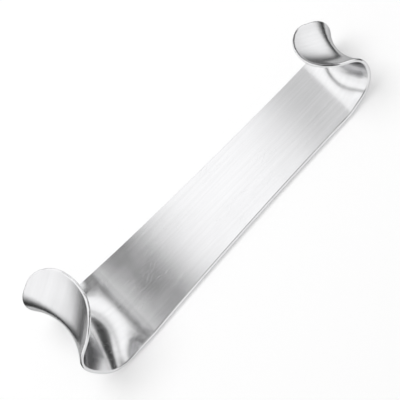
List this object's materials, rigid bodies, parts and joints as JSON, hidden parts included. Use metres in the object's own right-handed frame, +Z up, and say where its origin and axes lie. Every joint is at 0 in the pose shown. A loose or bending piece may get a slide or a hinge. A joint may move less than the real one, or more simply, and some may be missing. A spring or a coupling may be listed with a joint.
{
  "type": "handheld surgical retractor",
  "caption": "Double-ended hand-held retractor: one flat steel plate whose ends are bent back over the handle into a large and a small saddle-shaped blade that hold wound edges apart",
  "frame": {"origin": "under the middle of the overall length, on the plane of the handle's flat underside, midway across the width", "axes": "X runs along the handle from the large blade at -X to the small blade at +X; Y across it; Z up, the way both blades rise"},
  "size_m": [0.17, 0.0452, 0.0364],
  "materials": {
    "steel": "satin-polished stainless steel with rounded edges"
  },
  "bodies": {
    "root": {"retractor": "steel"}
  },
  "joints": []
}
